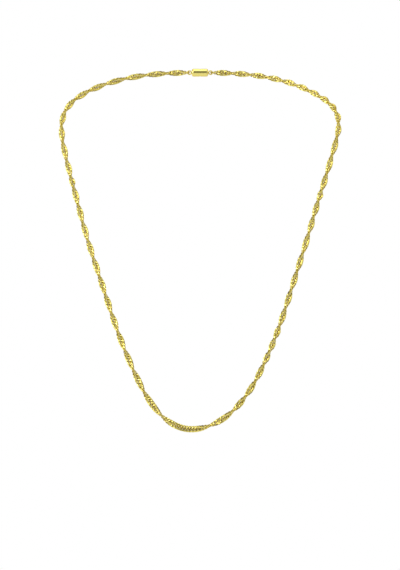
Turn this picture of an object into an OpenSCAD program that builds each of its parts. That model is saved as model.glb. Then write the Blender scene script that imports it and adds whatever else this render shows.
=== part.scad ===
// Twisted chain necklace: a fine flat curb chain, turned on itself all the way round and closed
// by a plain barrel clasp, with the form that it has when it is worn.
// Millimetres. +Z is up and the front faces -Y. The origin is the middle of the clasp, at the nape.

/* [Chain] */
// Width of the flat chain, over its links
chain_w = 2.5; // [2:0.1:3]
// Thickness of the flat chain, over its links
chain_t = 1.05; // [0.9:0.05:1.2]

/* [Clasp] */
// Length of the barrel without its eyes
barrel_l = 6.8; // [6:0.2:7.4]
// Diameter of the barrel
barrel_d = 3.2; // [2.4:0.2:4]
// Radius of the rounding at the barrel's ends
barrel_round = 0.8; // [0.3:0.1:1]
// Depth of the closing line round the barrel's middle
line_depth = 0.15; // [0.05:0.05:0.4]
// Width of the closing line
line_w = 0.3; // [0.1:0.1:0.6]
// Wire diameter of the eyes
eye_wire = 0.5; // [0.4:0.05:0.5]
// Diameter of the short necks that carry the eyes
neck_d = 1; // [0.8:0.1:1.4]
// Clear hole through each eye
eye_hole = 1; // [0.9:0.1:1.2]
// Gap between each end of the chain and its eye
seat_gap = 0.15; // [0.1:0.05:0.3]

/* [Hidden] */

GOLD = [0.8, 0.69, 0.27];
PALE_GOLD = [0.82, 0.72, 0.34];

// Control points of the chain's middle line, as a smooth curve: from the clasp's left eye over the
// left side, down the left strand, round the front and back by the right side. Left is -X.
route = [
    [-5.5, 0, 0], [-20.5, -0.5, -0.5], [-35, -6, -3.5], [-46.5, -15.5, -8.5], [-54, -26, -14.5],
    [-56.5, -35.5, -22.5], [-55, -42, -32.5], [-51.5, -49.5, -45], [-48, -56.5, -58],
    [-44.5, -63, -70.5], [-40, -69, -83.5], [-35.5, -75, -97], [-31, -80, -110],
    [-25.5, -84.5, -122.5], [-20.5, -88.5, -132.5], [-13.5, -90.5, -141], [-4.5, -92, -145],
    [5.5, -91.5, -142.5], [13.5, -89.5, -137], [20.5, -86.5, -128], [25.5, -83.5, -118],
    [30.5, -79, -106.5], [34.5, -74, -94.5], [38.5, -68.5, -82], [42.5, -62.5, -70],
    [46, -56.5, -58], [50, -50, -46], [53.5, -43.5, -34.5], [57, -36, -23],
    [55, -26.5, -15], [47, -15.5, -9], [35.5, -6, -3.5], [20.5, -0.5, -0.5], [5.5, 0, 0]
];

// Half twists of the chain in order from the left eye, from one edge-on place to the next.
// Columns: how many alike, the length of each, and how far it dwells with its flat side forward.
MANY = 0;
LENGTH = 1;
DWELL = 2;
twists = [
    [10, 8.15, 0],
    [1, 9, 0],
    [1, 8, 0],
    [1, 5, 0],
    [9, 8.25, 0],
    [1, 9, 0.1],
    [1, 10, 0.2],
    [1, 12, 0.3],
    [1, 20.5, 0.9],
    [1, 11, 0.2],
    [3, 7.5, 0],
    [3, 5.75, 0],
    [1, 8, 0],
    [3, 8.25, 0],
    [1, 9.5, 0],
    [2, 7.5, 0],
    [1, 5, 0],
    [1, 8, 0],
    [2, 9, 0]
];
// Half twists of like length on the rest of the way to the right eye
last_twists = 10;
// Way along the chain at which its two halves meet, in the middle of the widest lobe
meet_at = 218.5;
// Length at each end that runs round the back, where the flat side turns from front to back
back_run = 78;
// Outward lean of the flat side on that run, sideways and up
lean_side = 0.6;
lean_up = 0.8;
// Greatest way between two rings of the swept band
ring_step = 1.6;
// Steps of each span of the curve when its length is measured
span_steps = 8;

// Curve: a uniform cubic B-spline that starts and ends on the route's end points
spans = len(route) - 1;
controls = concat([2 * route[0] - route[1]], route, [2 * route[spans] - route[spans - 1]]);

function blend(t) = [pow(1 - t, 3), 3 * t * t * t - 6 * t * t + 4,
    -3 * t * t * t + 3 * t * t + 3 * t + 1, t * t * t] / 6;
function blend_slope(t) = [-(1 - t) * (1 - t), 3 * t * t - 4 * t, -3 * t * t + 2 * t + 1, t * t] / 2;
function mixed(u, weights) = weights * [for (k = [0:3]) controls[min(floor(u), spans - 1) + k]];
function within(u) = u - min(floor(u), spans - 1);
function place(u) = mixed(u, blend(within(u)));
function unit(v) = v / norm(v);
function heading(u) = unit(mixed(u, blend_slope(within(u))));

// Way along the curve against its parameter
ways = [
    for (k = 0, way = 0; k <= spans * span_steps;
        way = way + norm(place((k + 1) / span_steps) - place(k / span_steps)), k = k + 1)
    [way, k / span_steps]
];
chain_l = ways[spans * span_steps][0];

// Every half twist as [length, dwell], and the edge-on places between them
charted_l = [for (row = twists) row[MANY]] * [for (row = twists) row[LENGTH]];
all_twists = concat(twists, [[last_twists, (chain_l - charted_l) / last_twists, 0]]);
lobes = [for (row = all_twists) for (k = [1:row[MANY]]) [row[LENGTH], row[DWELL]]];
edge_on = [
    for (k = 0, way = 0; k <= len(lobes); way = way + (k < len(lobes) ? lobes[k][0] : 0), k = k + 1)
    [way, k]
];

// Angle that the flat side has turned through: a half turn in each lobe, slower where it dwells
function turned(way) = let (
        count = lookup(way, edge_on),
        lobe = min(floor(count), len(lobes) - 1)
    )
    180 * (count + lobes[lobe][1] * sin(360 * (count - lobe)) / (2 * PI));

// Outward direction that the turning is counted from: the front, and round the back the nape
function smooth(p) = p * p * (3 - 2 * p);
function outward(way) = let (
        side = way < chain_l / 2 ? -1 : 1,
        a = 180 * smooth(max(0, 1 - way / back_run, 1 - (chain_l - way) / back_run))
    )
    [side * lean_side * sin(a), -cos(a), lean_up * sin(a)];

// Section of the band: eight sides, half as thick at its edges as in its middle
section = [
    [chain_w / 2, chain_t / 4], [chain_w / 4, chain_t / 2],
    [-chain_w / 4, chain_t / 2], [-chain_w / 2, chain_t / 4],
    [-chain_w / 2, -chain_t / 4], [-chain_w / 4, -chain_t / 2],
    [chain_w / 4, -chain_t / 2], [chain_w / 2, -chain_t / 4]
];

function ring(way) = let (
        u = lookup(way, ways),
        along = heading(u),
        out = unit(outward(way) - (outward(way) * along) * along),
        aside = cross(along, out),
        wide = cos(turned(way)) * out + sin(turned(way)) * aside,
        thick = cross(along, wide)
    )
    [for (p = section) place(u) + p.x * wide + p.y * thick];

// Band swept along the chain's middle line from one way along it to another
module twisted_band(from, to) {
    steps = ceil((to - from) / ring_step);
    sides = len(section);
    rings = [for (k = [0:steps]) each ring(from + (to - from) * k / steps)];
    walls = [
        for (k = [0:steps - 1]) for (j = [0:sides - 1])
        let (a = k * sides + j, b = k * sides + (j + 1) % sides)
        each [[a, a + sides, b], [b, a + sides, b + sides]]
    ];
    first_end = [for (j = [0:sides - 1]) j];
    last_end = [for (j = [sides - 1:-1:0]) steps * sides + j];
    polyhedron(points = rings, faces = concat([first_end], walls, [last_end]), convexity = 10);
}

module chain_left() {
    color(GOLD) twisted_band(0, meet_at);
}

module chain_right() {
    color(GOLD) twisted_band(meet_at, chain_l);
}

// Half outline of the barrel, with its radius along X and its length along Y
module barrel_half() {
    body_r = barrel_d / 2;
    body_h = barrel_l / 2;
    difference() {
        union() {
            translate([0, -body_h])
                square([body_r - barrel_round, barrel_l]);
            translate([0, barrel_round - body_h])
                square([body_r, barrel_l - 2 * barrel_round]);
            for (end = [-1, 1])
                translate([body_r - barrel_round, end * (body_h - barrel_round)])
                    circle(r = barrel_round, $fn = 48);
        }
        translate([body_r - line_depth, -line_w / 2])
            square([2 * line_depth, line_w]);
    }
}

// Barrel with rounded ends and a shallow closing line, turned about X
module barrel() {
    rotate([0, 90, 0])
        rotate_extrude($fn = 64)
            barrel_half();
}

// Wire eye that lies upright, so that the end link crosses it
module eye() {
    rotate([90, 0, 0])
        rotate_extrude($fn = 48)
            translate([(eye_hole + eye_wire) / 2, 0])
                circle(d = eye_wire, $fn = 24);
}

// Neck that reaches from inside the barrel to the middle of the eye's wire
module neck(reach) {
    rotate([0, 90, 0])
        cylinder(d = neck_d, h = reach, $fn = 48);
}

module clasp() {
    eye_at = route[spans].x - seat_gap - eye_wire - eye_hole / 2;
    neck_end = eye_at - (eye_hole + eye_wire) / 2;
    color(PALE_GOLD) union() {
        barrel();
        for (turn = [0, 180])
            rotate([0, 0, turn]) {
                translate([eye_at, 0, 0])
                    eye();
                neck(neck_end);
            }
    }
}

chain_left();
chain_right();
clasp();
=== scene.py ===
"""Fine twisted curb chain necklace in yellow gold, worn round the neck and closed by a barrel clasp.

Every link of the chain is a closed ring of flattened wire. It passes through the two links before it
and the two links after it, and the whole flat chain turns on itself from the clasp all the way round.
"""
import math

import bpy
import numpy as np
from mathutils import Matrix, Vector


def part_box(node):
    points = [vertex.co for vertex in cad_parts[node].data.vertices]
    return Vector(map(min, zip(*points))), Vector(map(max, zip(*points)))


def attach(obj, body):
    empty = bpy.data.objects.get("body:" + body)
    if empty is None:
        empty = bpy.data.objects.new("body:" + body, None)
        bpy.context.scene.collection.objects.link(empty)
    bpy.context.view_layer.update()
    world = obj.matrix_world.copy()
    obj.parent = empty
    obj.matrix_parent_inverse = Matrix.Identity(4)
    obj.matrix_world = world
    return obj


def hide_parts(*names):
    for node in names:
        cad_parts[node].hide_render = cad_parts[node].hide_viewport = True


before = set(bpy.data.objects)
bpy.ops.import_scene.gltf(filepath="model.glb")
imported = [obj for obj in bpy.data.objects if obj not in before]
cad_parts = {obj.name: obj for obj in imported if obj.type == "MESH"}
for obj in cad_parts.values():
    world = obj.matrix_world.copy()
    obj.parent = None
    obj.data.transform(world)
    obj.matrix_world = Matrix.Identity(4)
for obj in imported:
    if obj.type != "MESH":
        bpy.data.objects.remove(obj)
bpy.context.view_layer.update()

MM = 0.001

# Control points of the chain's middle line, from the clasp's left eye round the front to its right eye
ROUTE = np.array([
    (-5.5, 0, 0), (-20.5, -0.5, -0.5), (-35, -6, -3.5), (-46.5, -15.5, -8.5), (-54, -26, -14.5),
    (-56.5, -35.5, -22.5), (-55, -42, -32.5), (-51.5, -49.5, -45), (-48, -56.5, -58),
    (-44.5, -63, -70.5), (-40, -69, -83.5), (-35.5, -75, -97), (-31, -80, -110),
    (-25.5, -84.5, -122.5), (-20.5, -88.5, -132.5), (-13.5, -90.5, -141), (-4.5, -92, -145),
    (5.5, -91.5, -142.5), (13.5, -89.5, -137), (20.5, -86.5, -128), (25.5, -83.5, -118),
    (30.5, -79, -106.5), (34.5, -74, -94.5), (38.5, -68.5, -82), (42.5, -62.5, -70),
    (46, -56.5, -58), (50, -50, -46), (53.5, -43.5, -34.5), (57, -36, -23),
    (55, -26.5, -15), (47, -15.5, -9), (35.5, -6, -3.5), (20.5, -0.5, -0.5), (5.5, 0, 0),
]) * MM
# Steps of each span between two control points when the line's length is measured
SPAN_STEPS = 8

# Half twists of the chain from one edge-on place to the next: how many alike, the length of each in
# millimetres, and how far it dwells with its flat side forward
TWISTS = [
    (10, 8.15, 0), (1, 9, 0), (1, 8, 0), (1, 5, 0), (9, 8.25, 0), (1, 9, 0.1), (1, 10, 0.2),
    (1, 12, 0.3), (1, 20.5, 0.9), (1, 11, 0.2), (3, 7.5, 0), (3, 5.75, 0), (1, 8, 0),
    (3, 8.25, 0), (1, 9.5, 0), (2, 7.5, 0), (1, 5, 0), (1, 8, 0), (2, 9, 0),
]
# Half twists of like length on the rest of the way to the right eye
LAST_TWISTS = 10
# Way along the chain at which its two halves meet, in the middle of the widest lobe
MEET_AT = 218.5 * MM
# Length at each end that runs round the back, and the outward lean of the flat side there
BACK_RUN = 78 * MM
LEAN_SIDE = 0.6
LEAN_UP = 0.8

# Links: width of the flattened wire and how much wider it is on a link's slanting quarters, its
# thickness, width of the chain, and how far one link lies from the next
WIRE_W = 0.53 * MM
WIDER = 0.16 * MM
WIRE_T = 0.28 * MM
CHAIN_W = 2.48 * MM
LINK_STEP = 1.1 * MM
# Half length of a link's middle line, how far that line rises out of the chain's plane, and how many
# straight segments it has
LINK_REACH = 1.377 * MM
LINK_RISE = 0.41 * MM
LINK_SEGMENTS = 16

# Corners of the wire's section in its width and thickness, from its outer edge over the top
SECTION = np.array([(1, 0), (0.5, 1), (-0.5, 1), (-1, 0), (-0.5, -1), (0.5, -1)]) / 2
# The wire's six faces in the same order: two are cut flat, and three look up and three down
CUT_FACES = (1, 4)
LOOKS_UP = np.array((1, 1, 1, -1, -1, -1))
# Painted shade on each of the six: how deep in the chain each lies, what a slanting quarter adds to
# each, and what a low place of the wire adds to those that look up and takes from the others
FACE_SHADE = np.array((0.1, 0.0, 0.7, 0.7, 0.0, 0.1))
SLANT_SHADE = np.array((0.7, 0.0, 0.2, 0.2, 0.0, 0.7))
LOW_SHADE = 0.5

# Wire of the clasp's eyes, the gap that even steps leave between it and the end links, and how much
# further those two links reach into the eyes
EYE_WIRE = 0.5 * MM
EYE_GAP = 0.06 * MM
END_SHIFT = 0.02 * MM

# Colours of the gold, as linear light: its own colour where no shade is painted, the darker gold of
# painted shade between the links and of the random tone, at glancing angles, and on the clasp
BRIGHT_GOLD = (0.99, 0.87, 0.25, 1)
SHADE_AND_TONE_GOLD = (0.30, 0.20, 0.0, 1)
GLANCING_GOLD = (1, 0.75, 0.2, 1)
CLASP_GOLD = (0.95, 0.83, 0.26, 1)
# How far towards that darker gold a soft cloud of random tone, the painted shade of a face's depth and
# a link's own tone go at most
CLOUD_SHARE = 0.12
SHADE_SHARE = 0.9
TONE_SHARE = 0.2
# Spread of the links' seeds, which keeps the drawn lines of one link from being those of another
SEED_SPREAD = 90
# Values between which nearly all of the lines' noise lies, and the height of the lines
NOISE_LOW = 0.3
NOISE_HIGH = 0.7
LINE_HEIGHT = 0.02 * MM
# Roughness of a cut face as a share of that of the others
CUT_ROUGHNESS = 0.7

# Camera: straight in front of the chain, level with the picture's middle
CAMERA_AT = (0, -1.57, -0.0878)
LENS = 239.8
FILM_W = 36
# Brightness of the surround that the metal mirrors, its brightness straight behind the camera, and
# how far a direction still points to the front where that dimming ends
SURROUND = 0.78
FRONT = 0.25
FRONT_END = 0.4
# Softboxes: name, place, width and height, and power in watts. All look at the middle of the chain.
SOFTBOXES = [
    ("Key softbox", (-0.45, -0.9, 0.5), (0.35, 0.5), 1.6),
    ("Side softbox", (-0.9, -0.3, 0.2), (0.5, 0.6), 3.6),
    ("Top softbox", (0, -0.1, 0.8), (0.5, 0.4), 1.0),
]
LIT_PLACE = Vector((0, -0.07, -0.08))
# Floor far below the chain
FLOOR_Z = -0.30
FLOOR_HALF = 1.2
FLOOR_COLOUR = (0.86, 0.86, 0.85, 1)
FLOOR_ROUGHNESS = 0.7


def spline(u):
    """Uniform cubic B-spline through the route's end points: at u the four control points round it
    are mixed with the cubic blend weights, and its slope with their derivatives."""
    ends = [2 * ROUTE[0] - ROUTE[1]], ROUTE, [2 * ROUTE[-1] - ROUTE[-2]]
    controls = np.concatenate(ends)
    span = np.minimum(u.astype(int), len(ROUTE) - 2)
    t = (u - span)[:, None]
    weights = ((1 - t) ** 3, 3 * t**3 - 6 * t**2 + 4, -3 * t**3 + 3 * t**2 + 3 * t + 1, t**3)
    slopes = (-((1 - t) ** 2), 3 * t**2 - 4 * t, -3 * t**2 + 2 * t + 1, t**2)
    place = sum(w * controls[span + k] for k, w in enumerate(weights)) / 6
    slope = sum(w * controls[span + k] for k, w in enumerate(slopes)) / 2
    return place, slope


def unit(v):
    """Each row divided by its own length."""
    return v / np.linalg.norm(v, axis=1, keepdims=True)


# Parameters of places along the middle line, and the way to each
STEPS = np.linspace(0, len(ROUTE) - 1, SPAN_STEPS * (len(ROUTE) - 1) + 1)
WAYS = np.concatenate([[0], np.cumsum(np.linalg.norm(np.diff(spline(STEPS)[0], axis=0), axis=1))])
CHAIN_L = WAYS[-1]


def half_twists():
    """Length and dwell of every half twist in order, with the last ones sharing the rest of the
    way."""
    many, length, dwell = np.array(TWISTS).T
    rest = (CHAIN_L / MM - many @ length) / LAST_TWISTS
    count = np.append(many, LAST_TWISTS).astype(int)
    lengths = np.repeat(np.append(length, rest), count) * MM
    dwells = np.repeat(np.append(dwell, 0), count)
    return lengths, dwells


def turned(way):
    """Angle of the flat side: pi for each half twist passed, plus pi times the share of the present
    one, slowed in its middle by the dwell times the sine of a full turn."""
    lengths, dwells = half_twists()
    edges = np.concatenate([[0], np.cumsum(lengths)])
    count = np.interp(way, edges, np.arange(len(edges)))
    lobe = np.minimum(count.astype(int), len(lengths) - 1)
    return math.pi * (count + dwells[lobe] * np.sin(2 * math.pi * (count - lobe)) / (2 * math.pi))


def outward(way):
    """Direction that the turning is counted from: the front, and over the back run it swings by a
    smooth half turn through sideways and up to the nape's own back."""
    past = np.clip(np.maximum(1 - way / BACK_RUN, 1 - (CHAIN_L - way) / BACK_RUN), 0, 1)
    a = math.pi * past**2 * (3 - 2 * past)
    side = np.where(way < CHAIN_L / 2, -1, 1)
    return np.stack([side * LEAN_SIDE * np.sin(a), -np.cos(a), LEAN_UP * np.sin(a)], axis=1)


def chain_frames(way):
    """Place, width direction and thickness direction of the flat chain along its way. Past the
    route's ends it goes straight on."""
    within = np.clip(way, 0, CHAIN_L)
    place, slope = spline(np.interp(within, WAYS, STEPS))
    along = unit(slope)
    place = place + (way - within)[:, None] * along
    out = outward(way)
    out = unit(out - np.sum(out * along, axis=1, keepdims=True) * along)
    aside = np.cross(along, out)
    a = turned(way)[:, None]
    wide = np.cos(a) * out + np.sin(a) * aside
    return place, wide, np.cross(along, wide)


def link_wire():
    """One link in its own frame. Its middle line is x = a cos f, y = b sin f, z = -c sin 2f, a flat
    oval whose four quarters rise and dip in turn. The flattened wire is carried along it, with its
    wide axis square to the line in the oval's plane. It gets wider on the slanting quarters by
    sin 2f squared, so that it closes most of the chain's meshes."""
    # The line's corners stand outside the oval, so that the segments between them touch it
    stretch = 1 / math.cos(math.pi / LINK_SEGMENTS)
    a = LINK_REACH * stretch
    b = (CHAIN_W - WIRE_W) / 2 * stretch
    f = (np.arange(LINK_SEGMENTS) + 0.5) * 2 * math.pi / LINK_SEGMENTS
    line = np.stack([a * np.cos(f), b * np.sin(f), -LINK_RISE * np.sin(2 * f)], axis=1)
    along = unit(np.roll(line, -1, axis=0) - np.roll(line, 1, axis=0))
    flat = unit(np.cross(along, (0, 0, 1)))
    up = np.cross(flat, along)
    width = WIRE_W + WIDER * np.sin(2 * f) ** 2
    points = (
        line[:, None] + SECTION[:, :1] * (width[:, None] * flat)[:, None]
        + SECTION[:, 1:] * WIRE_T * up[:, None]
    )
    return points.reshape(-1, 3)


def ring_faces(rings, sides):
    """Faces between each ring of points and the next, with the last ring joined to the first."""
    i = np.arange(rings)[:, None]
    j = np.arange(sides)[None]
    ahead = (i + 1) % rings
    beside = (j + 1) % sides
    return np.stack([
        i * sides + j, ahead * sides + j, ahead * sides + beside, i * sides + beside
    ], axis=-1).reshape(-1, 4)


def chain_links(name, way, seed):
    """Joined links of one half of the chain. Each point of a link is set in the chain's frame at its
    own way along it, so that the links bend and turn with the chain.
    Face values say which faces are cut flat, how much painted shade a face gets for how deep in the
    chain it lies, and each link's own tone. The painted shade starts from each face's own value, grows
    by its slant value times sin 2f squared, and by a share of sin 2f on faces that look up, because
    the wire runs lowest there, and of its opposite on faces that look down."""
    wire = link_wire()
    sides = len(SECTION)
    place, wide, thick = chain_frames((way[:, None] + wire[:, 0]).ravel())
    aside, rise = np.tile(wire[:, 1:], (len(way), 1)).T[:, :, None]
    points = place + aside * wide + rise * thick
    one = ring_faces(LINK_SEGMENTS, sides)
    faces = (one + np.arange(len(way))[:, None, None] * len(wire)).reshape(-1, 4)

    mesh = bpy.data.meshes.new(name)
    mesh.from_pydata(points.tolist(), [], faces.tolist())
    mesh.polygons.foreach_set("use_smooth", np.ones(len(faces), bool))

    # The wire's lengthwise edges stay crisp, so that its cut faces catch the light one by one
    ends = np.empty(2 * len(mesh.edges), np.int32)
    mesh.edges.foreach_get("vertices", ends)
    ends = ends.reshape(-1, 2)
    crisp = ends[:, 0] % sides == ends[:, 1] % sides
    mesh.attributes.new("sharp_edge", "BOOLEAN", "EDGE").data.foreach_set("value", crisp)

    face_side = np.tile(np.arange(sides), len(faces) // sides)
    cut = np.isin(face_side, CUT_FACES).astype(np.float32)
    # Here f is the angle of each segment's middle
    f = (np.arange(LINK_SEGMENTS) + 1)[:, None] * 2 * math.pi / LINK_SEGMENTS
    # Painted shade: darker gold deep in the chain, on the outer bevels of slanting quarters and at low
    # places
    depth = FACE_SHADE + SLANT_SHADE * np.sin(2 * f) ** 2 + LOW_SHADE * LOOKS_UP * np.sin(2 * f)
    deep = np.tile(np.clip(depth, 0, 1).ravel(), len(way)).astype(np.float32)
    rng = np.random.default_rng(seed)
    tone = np.repeat(rng.random(len(way)), len(one)).astype(np.float32)
    for label, values in (("cut", cut), ("deep", deep), ("tone", tone)):
        mesh.attributes.new(label, "FLOAT", "FACE").data.foreach_set("value", values)

    # Wire coordinates: u round the link, v round the wire
    i, j = np.divmod(np.arange(len(one)), sides)
    u = np.stack([i, i + 1, i + 1, i], axis=-1) / LINK_SEGMENTS
    v = np.stack([j, j, j + 1, j + 1], axis=-1) / sides
    uv = np.tile(np.stack([u, v], axis=-1).reshape(-1, 2), (len(way), 1))
    mesh.uv_layers.new(name="wire").data.foreach_set("uv", uv.ravel().astype(np.float32))
    mesh.update()

    links = bpy.data.objects.new(name, mesh)
    bpy.context.scene.collection.objects.link(links)
    return links


def link_ways():
    """Way along the chain of each link's middle, in even steps. The end links lie with their outer
    bars inside the clasp's eyes, just clear of the eyes' wire."""
    hole_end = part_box("clasp")[1].x - EYE_WIRE
    first = hole_end - EYE_GAP - WIRE_W / 2 + LINK_REACH - ROUTE[-1][0]
    count = round((CHAIN_L - 2 * first) / LINK_STEP) + 1
    ways = np.linspace(first, CHAIN_L - first, count)
    ways[[0, -1]] += -END_SHIFT, END_SHIFT
    return ways


def node(tree, kind, **values):
    """New shader node with its settings, and with its inputs by name, an underscore for each space.
    A setting that gives the node its inputs comes before them."""
    made = tree.nodes.new(kind)
    for key, value in values.items():
        label = key.replace("_", " ")
        if label in made.inputs:
            made.inputs[label].default_value = value
        else:
            setattr(made, key, value)
    return made


def join(tree, source, target):
    """Link from one socket to another."""
    tree.links.new(source, target)


def combine(tree, operation, *terms, **settings):
    """Result of a math node whose terms are numbers or other nodes' sockets."""
    made = node(tree, "ShaderNodeMath", operation=operation, **settings)
    for socket, term in zip(made.inputs, terms):
        if isinstance(term, bpy.types.NodeSocket):
            join(tree, term, socket)
        else:
            socket.default_value = term
    return made.outputs["Value"]


def worn_and_shaded_gold():
    """Shader group: gold that varies softly from bright to deep, by a random cloud and by the given
    depth, which on the links carries painted shade, and that carries fine polishing lines. Another
    seed gives it other lines."""
    group = bpy.data.node_groups.new("Worn and shaded gold", "ShaderNodeTree")
    for in_out, kind, labels in (
        ("INPUT", "NodeSocketVector", ("Place", "Lines")),
        ("INPUT", "NodeSocketColor", ("Bright", "Deep")),
        ("INPUT", "NodeSocketFloat", (
            "Depth", "Seed", "Cloud Scale", "Line Scale", "Smoothest", "Roughest"
        )),
        ("OUTPUT", "NodeSocketColor", ("Colour",)),
        ("OUTPUT", "NodeSocketFloat", ("Roughness", "Height")),
    ):
        for label in labels:
            group.interface.new_socket(name=label, in_out=in_out, socket_type=kind)
    source = node(group, "NodeGroupInput")
    result = node(group, "NodeGroupOutput")

    cloud = node(group, "ShaderNodeTexNoise", Detail=3, Roughness=0.6)
    join(group, source.outputs["Place"], cloud.inputs["Vector"])
    join(group, source.outputs["Cloud Scale"], cloud.inputs["Scale"])
    lines = node(group, "ShaderNodeTexNoise", noise_dimensions="4D", Detail=2, Roughness=0.5)
    join(group, source.outputs["Lines"], lines.inputs["Vector"])
    join(group, source.outputs["Line Scale"], lines.inputs["Scale"])
    join(group, source.outputs["Seed"], lines.inputs["W"])

    # Share of the darker gold: the random cloud plus the given depth, which on the links is painted
    # shade
    share = combine(
        group, "MULTIPLY_ADD", cloud.outputs["Fac"], CLOUD_SHARE, source.outputs["Depth"],
        use_clamp=True,
    )
    colour = node(group, "ShaderNodeMix", data_type="RGBA")
    join(group, share, colour.inputs["Factor"])
    join(group, source.outputs["Bright"], colour.inputs["A"])
    join(group, source.outputs["Deep"], colour.inputs["B"])
    join(group, colour.outputs["Result"], result.inputs["Colour"])

    rough = node(group, "ShaderNodeMapRange", From_Min=NOISE_LOW, From_Max=NOISE_HIGH)
    join(group, lines.outputs["Fac"], rough.inputs["Value"])
    join(group, source.outputs["Smoothest"], rough.inputs["To Min"])
    join(group, source.outputs["Roughest"], rough.inputs["To Max"])
    join(group, rough.outputs["Result"], result.inputs["Roughness"])
    join(group, lines.outputs["Fac"], result.inputs["Height"])
    return group


def gold_material(name, group, line_stretch, bump, **values):
    """Polished gold: the shaded gold group, whose depth can carry painted shade, over a metal shader,
    with its lines stretched one way.
    """
    material = bpy.data.materials.new(name)
    material.use_nodes = True
    tree = material.node_tree
    tree.nodes.clear()
    shader = node(tree, "ShaderNodeBsdfPrincipled", Metallic=1.0, Specular_Tint=GLANCING_GOLD)
    output = node(tree, "ShaderNodeOutputMaterial")
    join(tree, shader.outputs["BSDF"], output.inputs["Surface"])
    worn_shaded = node(tree, "ShaderNodeGroup", node_tree=group, Deep=SHADE_AND_TONE_GOLD, **values)
    coords = node(tree, "ShaderNodeTexCoord")
    join(tree, coords.outputs["Object"], worn_shaded.inputs["Place"])
    stretch = node(tree, "ShaderNodeMapping", Scale=line_stretch)
    join(tree, stretch.outputs["Vector"], worn_shaded.inputs["Lines"])
    join(tree, worn_shaded.outputs["Colour"], shader.inputs["Base Color"])
    relief = node(tree, "ShaderNodeBump", Strength=bump, Distance=LINE_HEIGHT)
    join(tree, worn_shaded.outputs["Height"], relief.inputs["Height"])
    join(tree, relief.outputs["Normal"], shader.inputs["Normal"])
    return material, tree, worn_shaded, shader, coords, stretch


def link_gold(group):
    """Gold of the links: bright cut faces, drawn lines along the wire, and painted shade in a deeper,
    warmer gold on the faces that look into a link, on slanting quarters and at low places. Each link
    has a slight tone of its own."""
    material, tree, worn_shaded, shader, coords, stretch = gold_material(
        "Link gold", group, line_stretch=(2, 1.5, 1), bump=0.8, Bright=BRIGHT_GOLD,
        Cloud_Scale=260, Line_Scale=4, Smoothest=0.12, Roughest=0.3,
    )
    join(tree, coords.outputs["UV"], stretch.inputs["Vector"])
    deep, tone, cut = (
        node(tree, "ShaderNodeAttribute", attribute_name=label).outputs["Fac"]
        for label in ("deep", "tone", "cut")
    )
    # Painted shade from each face's depth, with the link's own random tone added on top
    shade = combine(tree, "MULTIPLY", deep, SHADE_SHARE)
    depth = combine(tree, "MULTIPLY_ADD", tone, TONE_SHARE, shade)
    join(tree, depth, worn_shaded.inputs["Depth"])
    seed = combine(tree, "MULTIPLY", tone, SEED_SPREAD)
    join(tree, seed, worn_shaded.inputs["Seed"])
    polish = node(tree, "ShaderNodeMapRange", To_Min=1, To_Max=CUT_ROUGHNESS)
    join(tree, cut, polish.inputs["Value"])
    rough = combine(tree, "MULTIPLY", worn_shaded.outputs["Roughness"], polish.outputs["Result"])
    join(tree, rough, shader.inputs["Roughness"])
    return material


def clasp_gold(group):
    """Gold of the barrel: smooth, with fine lines turned round its axis."""
    material, tree, worn_shaded, shader, coords, stretch = gold_material(
        "Clasp gold", group, line_stretch=(9, 1, 1), bump=0.15, Bright=CLASP_GOLD,
        Cloud_Scale=500, Line_Scale=1500, Smoothest=0.08, Roughest=0.2,
    )
    join(tree, coords.outputs["Object"], stretch.inputs["Vector"])
    join(tree, worn_shaded.outputs["Roughness"], shader.inputs["Roughness"])
    return material


def softbox(name, place, size, power):
    """Rectangular studio light that looks at the middle of the chain."""
    light = bpy.data.lights.new(name, "AREA")
    light.shape = "RECTANGLE"
    light.size, light.size_y = size
    light.energy = power
    lamp = bpy.data.objects.new(name, light)
    lamp.location = place
    lamp.rotation_euler = (LIT_PLACE - lamp.location).to_track_quat("-Z", "Y").to_euler()
    bpy.context.scene.collection.objects.link(lamp)


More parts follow.
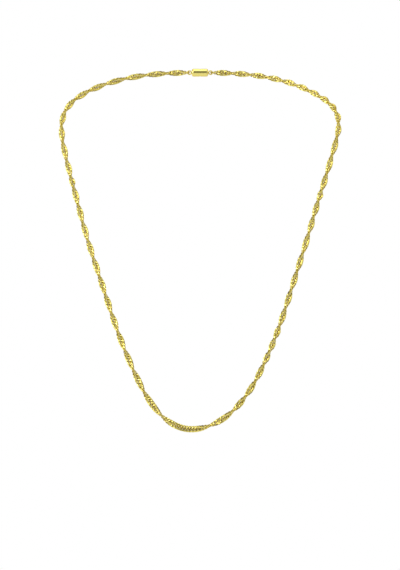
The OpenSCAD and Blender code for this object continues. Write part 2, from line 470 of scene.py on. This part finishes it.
def surround():
    """White surround for the camera, and a dimmer one for the metal to mirror. That one is dimmest
    behind the camera, so that the chain's flat places darken."""
    world = bpy.data.worlds.new("Studio")
    bpy.context.scene.world = world
    world.use_nodes = True
    tree = world.node_tree
    tree.nodes.clear()
    output = node(tree, "ShaderNodeOutputWorld")
    white = node(tree, "ShaderNodeBackground", Color=(1, 1, 1, 1), Strength=1)
    dim = node(tree, "ShaderNodeBackground", Color=(1, 1, 1, 1))
    coords = node(tree, "ShaderNodeTexCoord")
    axes = node(tree, "ShaderNodeSeparateXYZ")
    join(tree, coords.outputs["Generated"], axes.inputs["Vector"])
    ramp = node(
        tree, "ShaderNodeMapRange", interpolation_type="SMOOTHSTEP",
        From_Min=-1, From_Max=-FRONT_END, To_Min=FRONT, To_Max=SURROUND,
    )
    join(tree, axes.outputs["Y"], ramp.inputs["Value"])
    join(tree, ramp.outputs["Result"], dim.inputs["Strength"])
    ray = node(tree, "ShaderNodeLightPath")
    mix = node(tree, "ShaderNodeMixShader")
    join(tree, ray.outputs["Is Camera Ray"], mix.inputs["Fac"])
    join(tree, dim.outputs[0], mix.inputs[1])
    join(tree, white.outputs[0], mix.inputs[2])
    join(tree, mix.outputs[0], output.inputs["Surface"])


def floor():
    """Pale square floor far below the chain."""
    mesh = bpy.data.meshes.new("floor")
    corners = [
        (x * FLOOR_HALF, y * FLOOR_HALF, FLOOR_Z) for x, y in ((-1, -1), (1, -1), (1, 1), (-1, 1))
    ]
    mesh.from_pydata(corners, [], [(0, 1, 2, 3)])
    plane = bpy.data.objects.new("floor", mesh)
    bpy.context.scene.collection.objects.link(plane)
    pale = bpy.data.materials.new("Pale floor")
    pale.use_nodes = True
    shader = pale.node_tree.nodes["Principled BSDF"]
    shader.inputs["Base Color"].default_value = FLOOR_COLOUR
    shader.inputs["Roughness"].default_value = FLOOR_ROUGHNESS
    mesh.materials.append(pale)


def camera():
    """Level camera straight in front of the chain."""
    lens = bpy.data.cameras.new("Camera")
    lens.lens = LENS
    lens.sensor_width = FILM_W
    stand = bpy.data.objects.new("Camera", lens)
    stand.location = CAMERA_AT
    stand.rotation_euler = (math.pi / 2, 0, 0)
    bpy.context.scene.collection.objects.link(stand)
    bpy.context.scene.camera = stand


camera()
surround()
for row in SOFTBOXES:
    softbox(*row)
floor()
# Colours are shown as they are, so that the ground stays white
bpy.context.scene.view_settings.view_transform = "Standard"

gold_group = worn_and_shaded_gold()
link_finish = link_gold(gold_group)
clasp_finish = clasp_gold(gold_group)

all_ways = link_ways()
left = all_ways < MEET_AT
for half_name, ways, half_seed, cad_node in (
    ("left_links", all_ways[left], 0, "chain_left"),
    ("right_links", all_ways[~left], 1, "chain_right"),
):
    piece = chain_links(half_name, ways, half_seed)
    piece.data.materials.append(link_finish)
    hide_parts(cad_node)
    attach(piece, "root")

for slot in bpy.data.objects["clasp"].material_slots:
    slot.material = clasp_finish
